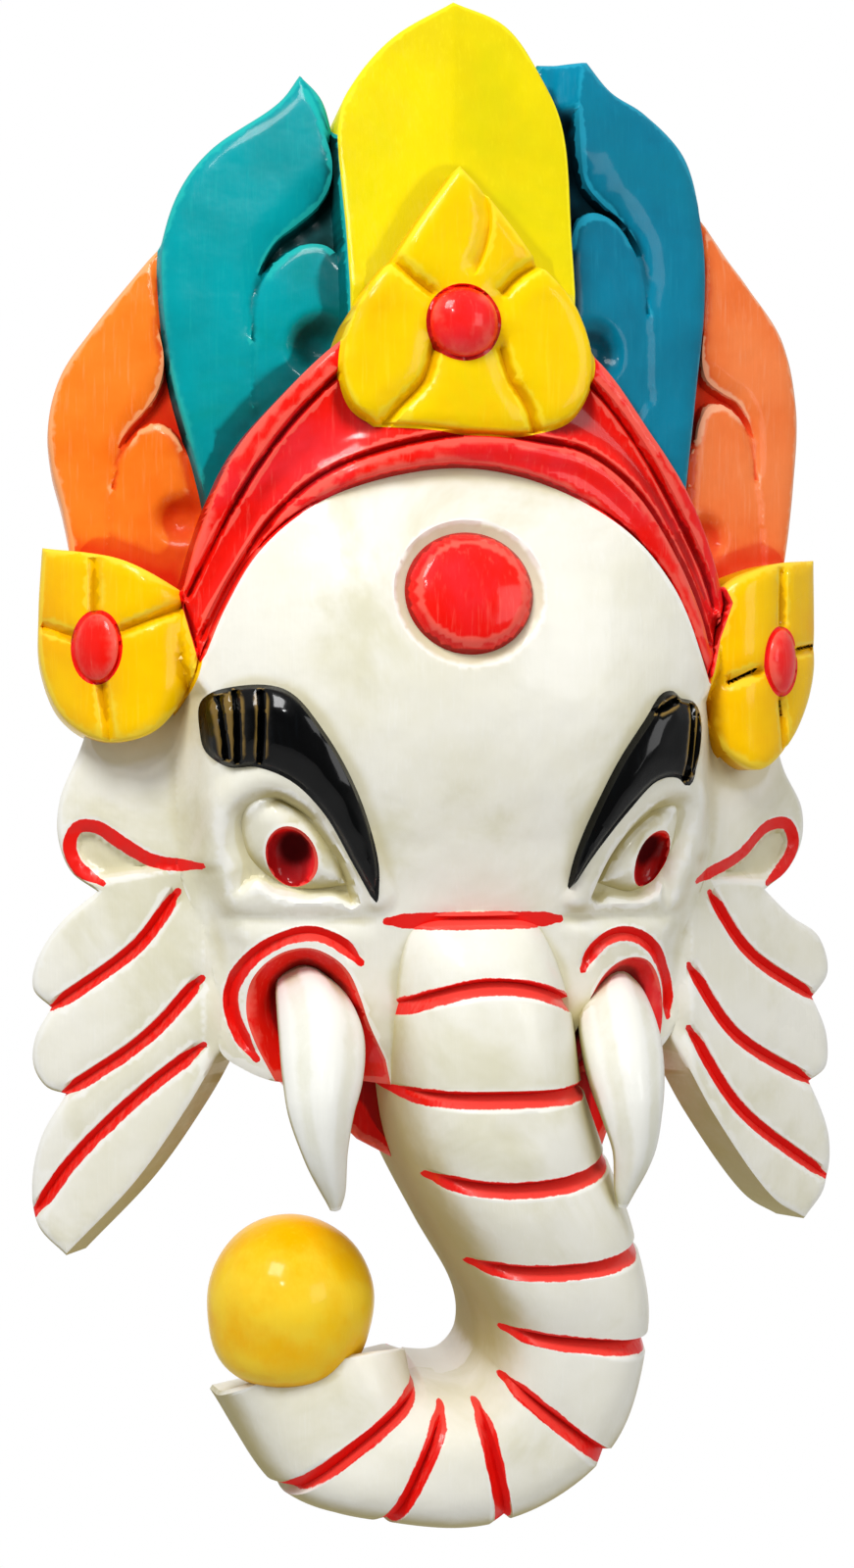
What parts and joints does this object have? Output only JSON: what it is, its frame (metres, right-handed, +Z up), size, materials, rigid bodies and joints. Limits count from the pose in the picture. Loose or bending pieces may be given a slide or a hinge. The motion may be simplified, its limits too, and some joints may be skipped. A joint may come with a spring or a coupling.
{
  "type": "ganesha wall hanging",
  "caption": "Carved and painted wooden elephant-headed wall mask with a leafed crown, fanned ears, tusks and a trunk curled up round a ball.",
  "frame": {"origin": "on the flat back face, on the middle line, behind the foot of the crown, where it rests on the wall", "axes": "+Z up along the wall, -Y out of the wall towards the viewer, +X to the viewer's right"},
  "size_m": [0.2685, 0.0862, 0.478],
  "materials": {
    "painted_wood": "gloss enamel over white ground"
  },
  "bodies": {
    "root": {"mask": "painted_wood"}
  },
  "joints": []
}
